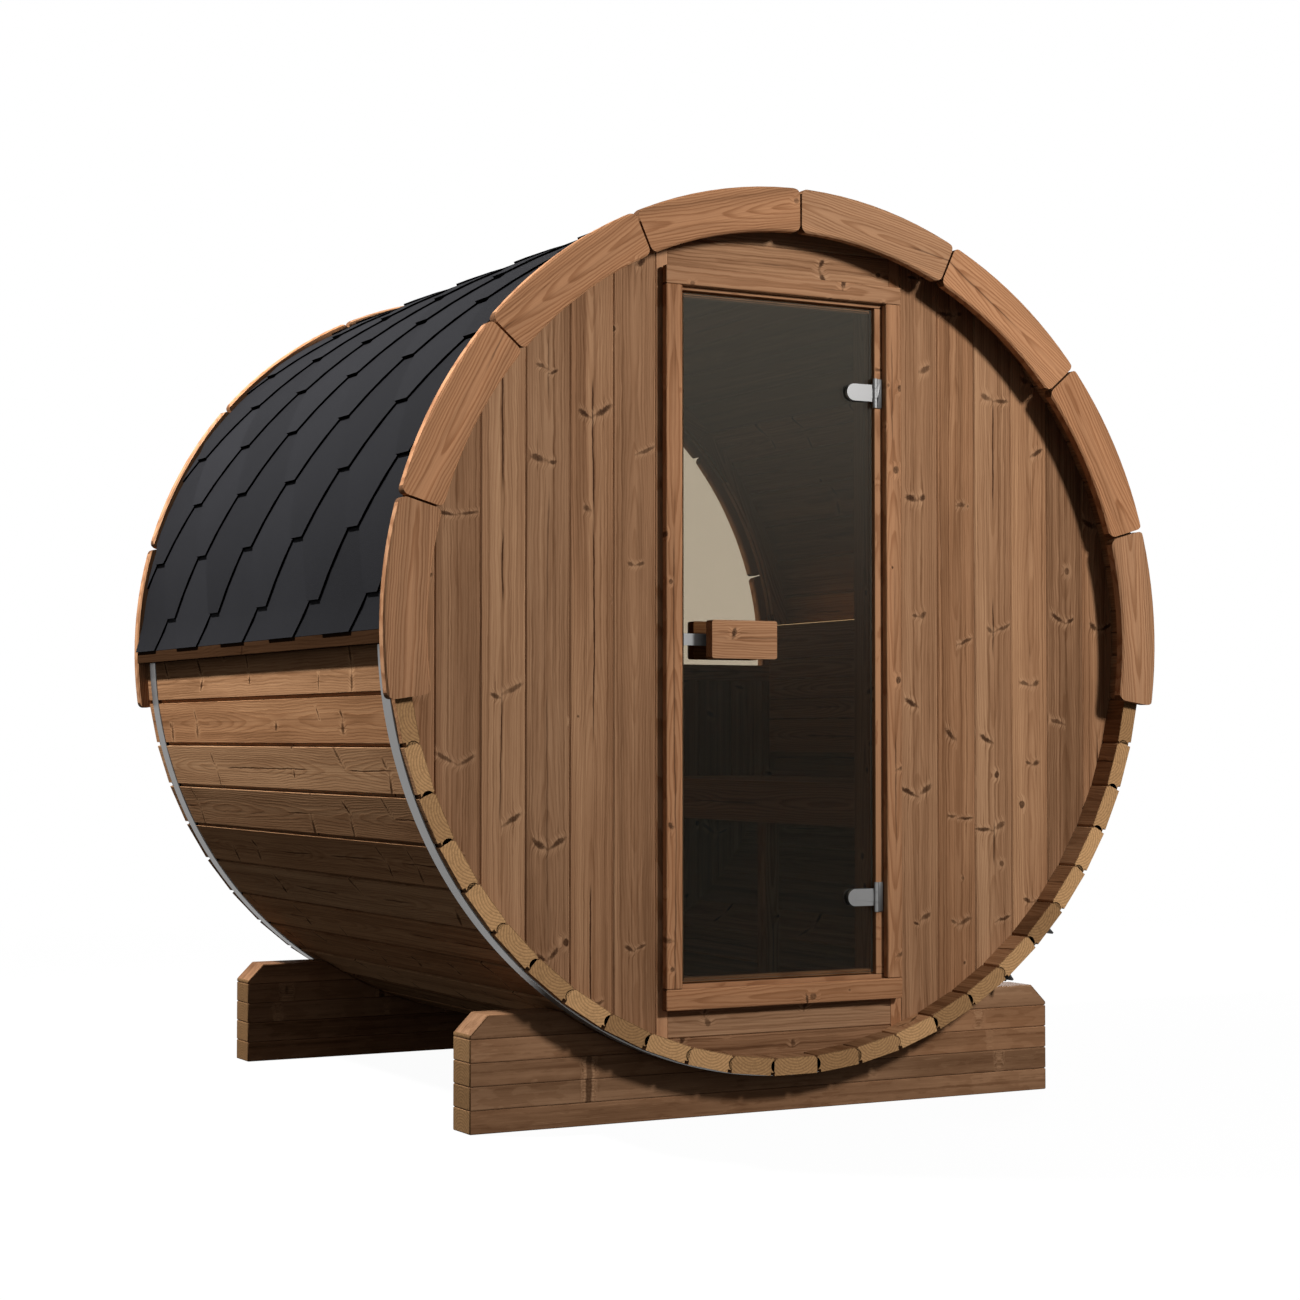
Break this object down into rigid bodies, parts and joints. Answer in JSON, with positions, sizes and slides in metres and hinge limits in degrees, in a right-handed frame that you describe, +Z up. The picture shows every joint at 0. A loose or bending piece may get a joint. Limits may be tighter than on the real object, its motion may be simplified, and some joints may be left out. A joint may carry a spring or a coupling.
{
  "type": "barrel sauna",
  "caption": "Round stave-built outdoor sauna on two cradles, with a bronze glass door, a half-moon back window, facing benches and a shingled upper half.",
  "frame": {"origin": "on the ground under the middle of the barrel", "axes": "+X to the right seen from the front, +Y towards the back, +Z up"},
  "size_m": [2.063, 1.756, 2.1208],
  "materials": {
    "wood_boards": "oiled thermally treated boards",
    "wood_trim": "oiled lighter boards",
    "steel": "satin",
    "black": "matt black",
    "shingle": "mineral granules on bitumen",
    "bronze_glass": "bronze tinted",
    "lamp": "lit diffuser"
  },
  "bodies": {
    "cabin": {"front_cradle": "wood_boards", "rear_cradle": "wood_boards", "bottom_staves": "wood_boards", "right_lower_staves": "wood_boards", "right_side_staves": "wood_boards", "right_upper_staves": "wood_boards", "top_staves": "wood_boards", "left_upper_staves": "wood_boards", "left_side_staves": "wood_boards", "left_lower_staves": "wood_boards", "front_hoop": "steel", "rear_hoop": "steel", "hoop_clamps": "black", "front_trim": "wood_trim", "rear_trim": "wood_trim", "roof_shingles": "shingle", "left_eave_batten": "wood_boards", "right_eave_batten": "wood_boards", "front_wall_left": "wood_boards", "front_wall_right": "wood_boards", "front_wall_header": "wood_boards", "front_wall_sill": "wood_boards", "door_posts": "wood_boards", "door_jamb": "wood_trim", "door_stop": "wood_trim", "door_casing": "wood_trim", "hinge_leaves": "steel", "rear_wall": "wood_boards", "rear_transom": "wood_trim", "window_arch": "wood_trim", "window_glass": "bronze_glass", "left_bench_seat": "wood_boards", "left_bench_frame": "wood_boards", "left_backrest": "wood_boards", "right_bench_seat": "wood_boards", "right_bench_frame": "wood_boards", "right_backrest": "wood_boards", "backrest_lights": "lamp"},
    "door": {"door_glass": "bronze_glass", "hinge_clamps": "steel", "hinge_gaskets": "black", "outer_handle": "wood_trim", "inner_handle": "wood_trim", "handle_spacers": "steel", "latch_plate": "steel"}
  },
  "joints": [
    {"name": "door_hinge", "type": "hinge", "parent": "cabin", "child": "door", "pos_m": [0.25225, -0.8, 0], "axis": [0, 0, 1], "range_deg": [0, 110]}
  ]
}
